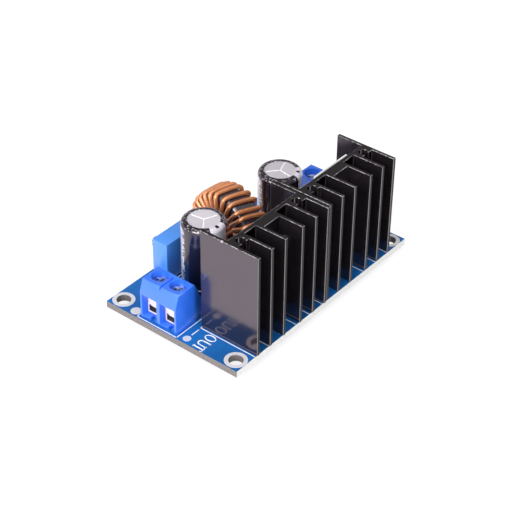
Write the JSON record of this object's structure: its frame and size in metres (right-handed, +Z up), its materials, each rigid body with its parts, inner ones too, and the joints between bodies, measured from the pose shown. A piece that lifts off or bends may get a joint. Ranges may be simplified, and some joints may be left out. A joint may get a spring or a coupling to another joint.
{
  "type": "buck converter module",
  "caption": "Drilled board with two finned heatsinks, a wound ring choke, capacitors, a trimmer and screw terminals at both ends: steps a DC voltage down.",
  "frame": {"origin": "centre of the base, at the tips of the soldered leads below the board", "axes": "+Z up from the board, +X along the board towards the input terminal, -Y towards the heatsinks' fins"},
  "size_m": [0.06, 0.0366, 0.0282],
  "materials": {
    "board": "glossy",
    "solder": "satin",
    "tinned_metal": "satin",
    "black_aluminium": "satin",
    "moulding_compound": "matte",
    "insulator": "matte",
    "ferrite": "satin",
    "enamelled_copper": "glossy",
    "can_aluminium": "satin",
    "sleeve": "glossy",
    "bung_rubber": "matte",
    "terminal_plastic": "satin",
    "clamp_metal": "satin",
    "trimmer_plastic": "satin",
    "trimmer_brass": "satin",
    "chip_ceramic": "satin",
    "chip_black": "satin"
  },
  "bodies": {
    "module": {"circuit_board": "board", "solder_joints": "solder", "output_heatsink": "black_aluminium", "input_heatsink": "black_aluminium", "heatsink_pins": "tinned_metal", "diode_tab": "tinned_metal", "diode_body": "moulding_compound", "diode_leads": "tinned_metal", "diode_pad": "insulator", "regulator_tab": "tinned_metal", "regulator_body": "moulding_compound", "regulator_leads": "tinned_metal", "regulator_pad": "insulator", "tab_screws": "tinned_metal", "choke_core": "ferrite", "choke_winding": "enamelled_copper", "output_capacitor_can": "can_aluminium", "output_capacitor_sleeve": "sleeve", "output_capacitor_bung": "bung_rubber", "output_capacitor_leads": "tinned_metal", "input_capacitor_can": "can_aluminium", "input_capacitor_sleeve": "sleeve", "input_capacitor_bung": "bung_rubber", "input_capacitor_leads": "tinned_metal", "output_terminal_housing": "terminal_plastic", "output_terminal_pins": "clamp_metal", "input_terminal_housing": "terminal_plastic", "input_terminal_pins": "clamp_metal", "trimmer_housing": "trimmer_plastic", "trimmer_pins": "tinned_metal", "chip_capacitors": "chip_ceramic", "chip_resistors": "chip_black"},
    "output_front_screw": {"output_screw_front": "clamp_metal"},
    "output_rear_screw": {"output_screw_rear": "clamp_metal"},
    "input_front_screw": {"input_screw_front": "clamp_metal"},
    "input_rear_screw": {"input_screw_rear": "clamp_metal"},
    "output_front_clamp": {"output_clamp_front": "clamp_metal"},
    "output_rear_clamp": {"output_clamp_rear": "clamp_metal"},
    "input_front_clamp": {"input_clamp_front": "clamp_metal"},
    "input_rear_clamp": {"input_clamp_rear": "clamp_metal"},
    "adjuster": {"trimmer_screw": "trimmer_brass"}
  },
  "joints": [
    {"name": "output_front_turn", "type": "hinge", "parent": "module", "child": "output_front_screw", "pos_m": [-0.0254, 0.0014, 0.0099], "axis": [0, 0, -1], "range_deg": [0, 720]},
    {"name": "output_rear_turn", "type": "hinge", "parent": "module", "child": "output_rear_screw", "pos_m": [-0.0254, 0.0064, 0.0099], "axis": [0, 0, -1], "range_deg": [0, 720]},
    {"name": "input_front_turn", "type": "hinge", "parent": "module", "child": "input_front_screw", "pos_m": [0.026, 0.00065, 0.0099], "axis": [0, 0, -1], "range_deg": [0, 720]},
    {"name": "input_rear_turn", "type": "hinge", "parent": "module", "child": "input_rear_screw", "pos_m": [0.026, 0.00565, 0.0099], "axis": [0, 0, -1], "range_deg": [0, 720]},
    {"name": "output_front_rise", "type": "slide", "parent": "module", "child": "output_front_clamp", "axis": [0, 0, 1], "range_m": [0, 0.001]},
    {"name": "output_rear_rise", "type": "slide", "parent": "module", "child": "output_rear_clamp", "axis": [0, 0, 1], "range_m": [0, 0.001]},
    {"name": "input_front_rise", "type": "slide", "parent": "module", "child": "input_front_clamp", "axis": [0, 0, 1], "range_m": [0, 0.001]},
    {"name": "input_rear_rise", "type": "slide", "parent": "module", "child": "input_rear_clamp", "axis": [0, 0, 1], "range_m": [0, 0.001]},
    {"name": "adjuster_turn", "type": "hinge", "parent": "module", "child": "adjuster", "pos_m": [-0.01545, 0.01645, 0.0115], "axis": [0, 1, 0], "continuous": true}
  ],
  "couplings": [
    {"joint": "output_front_turn", "follows": "output_front_rise", "rad_per_m": 12566},
    {"joint": "output_rear_turn", "follows": "output_rear_rise", "rad_per_m": 12566},
    {"joint": "input_front_turn", "follows": "input_front_rise", "rad_per_m": 12566},
    {"joint": "input_rear_turn", "follows": "input_rear_rise", "rad_per_m": 12566}
  ]
}
